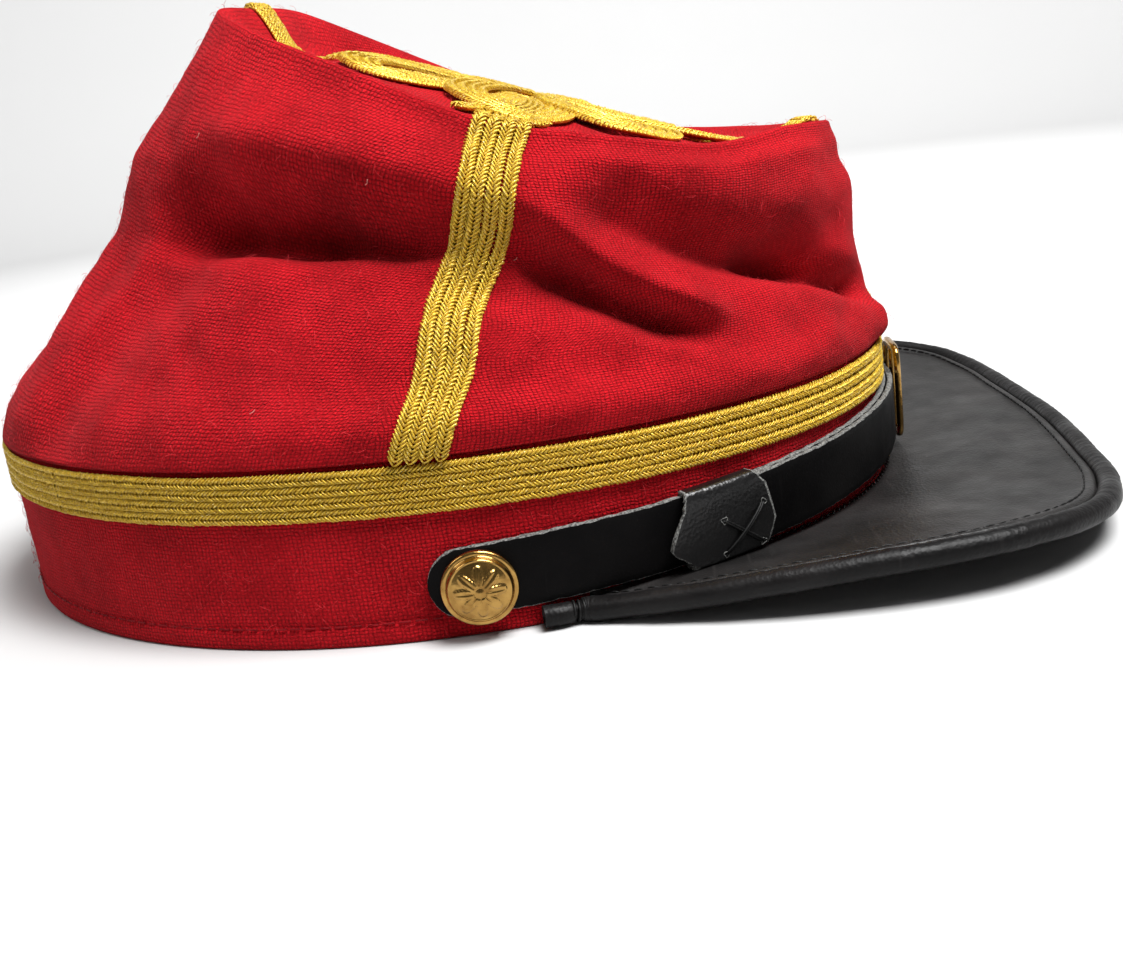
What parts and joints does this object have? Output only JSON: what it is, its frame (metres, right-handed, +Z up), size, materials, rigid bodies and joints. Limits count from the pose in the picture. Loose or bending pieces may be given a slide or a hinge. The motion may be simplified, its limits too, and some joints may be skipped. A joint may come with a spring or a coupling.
{
  "type": "kepi cap",
  "caption": "Soft wool kepi with a forward-sloping crown, braided band and strips, leather peak, chin strap, slide and side buttons.",
  "frame": {"origin": "on the plane that the band rests on, below the middle of the whole cap's box", "axes": "+Z up, -Y towards the peak, -X towards the wearer's right"},
  "size_m": [0.1884, 0.2432, 0.1204],
  "materials": {
    "wool": "plain woven wool, slightly felted",
    "braid": "double-ribbed soutache braid",
    "leather": "satin, with raw grey cut edges",
    "metal": "polished"
  },
  "bodies": {
    "root": {"band": "wool", "crown_side": "wool", "crown_top": "wool", "band_braid_1": "braid", "band_braid_2": "braid", "band_braid_3": "braid", "band_braid_4": "braid", "braid_right_1": "braid", "braid_right_2": "braid", "braid_right_3": "braid", "braid_right_4": "braid", "braid_left_1": "braid", "braid_left_2": "braid", "braid_left_3": "braid", "braid_left_4": "braid", "braid_front_1": "braid", "braid_front_2": "braid", "braid_front_3": "braid", "braid_front_4": "braid", "braid_back_1": "braid", "braid_back_2": "braid", "braid_back_3": "braid", "braid_back_4": "braid", "top_knot": "braid", "peak": "leather", "peak_roll": "leather", "chin_strap_right": "leather", "chin_strap_left": "leather", "strap_keeper": "leather", "strap_buckle": "metal", "button_right": "metal", "button_left": "metal"}
  },
  "joints": []
}
